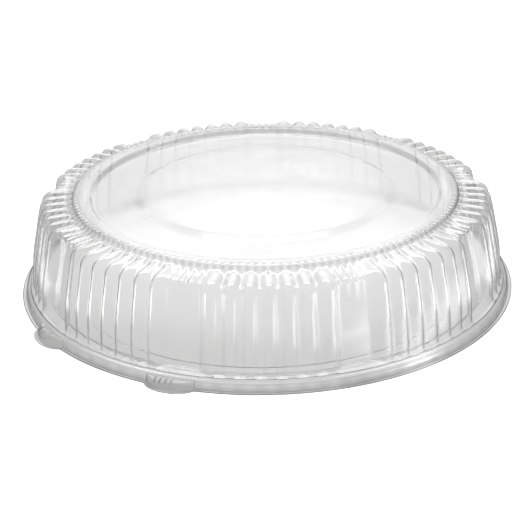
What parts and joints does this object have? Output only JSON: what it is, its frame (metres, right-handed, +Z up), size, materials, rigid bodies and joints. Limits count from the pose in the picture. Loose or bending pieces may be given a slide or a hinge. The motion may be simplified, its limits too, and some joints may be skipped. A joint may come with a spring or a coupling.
{
  "type": "humidity dome tray",
  "caption": "Round clear humidity dome with a fluted wall, raised stacking disc, snap skirt and lift tabs, over a shallow clear tray.",
  "frame": {"origin": "on the axis of the set, at the underside of the tray's floor", "axes": "+Z up along the axis; -Y is the front, and the two lift tabs are front left, towards -X"},
  "size_m": [0.412, 0.412, 0.083],
  "materials": {
    "dome_pet": "clear, glossy formed sheet",
    "tray_pet": "clear, glossy formed sheet",
    "tab_pet": "clear, glossy formed sheet with raised grip ribs"
  },
  "bodies": {
    "tray": {"base_tray": "tray_pet"},
    "dome": {"dome_lid": "dome_pet"},
    "tab_front": {"lift_tab_front": "tab_pet"},
    "tab_left": {"lift_tab_left": "tab_pet"}
  },
  "joints": [
    {"name": "dome_lift", "type": "slide", "parent": "tray", "child": "dome", "axis": [0, 0, 1], "range_m": [0, 0.12]},
    {"name": "tab_front_flex", "type": "hinge", "parent": "dome", "child": "tab_front", "pos_m": [-0.07307, -0.18839, 0.007], "axis": [-0.9323, 0.3616, 0], "range_deg": [0, 20], "stiffness_Nm_per_rad": 0.02},
    {"name": "tab_left_flex", "type": "hinge", "parent": "dome", "child": "tab_left", "pos_m": [-0.17023, -0.10887, 0.007], "axis": [-0.5388, 0.8425, 0], "range_deg": [0, 20], "stiffness_Nm_per_rad": 0.02}
  ]
}
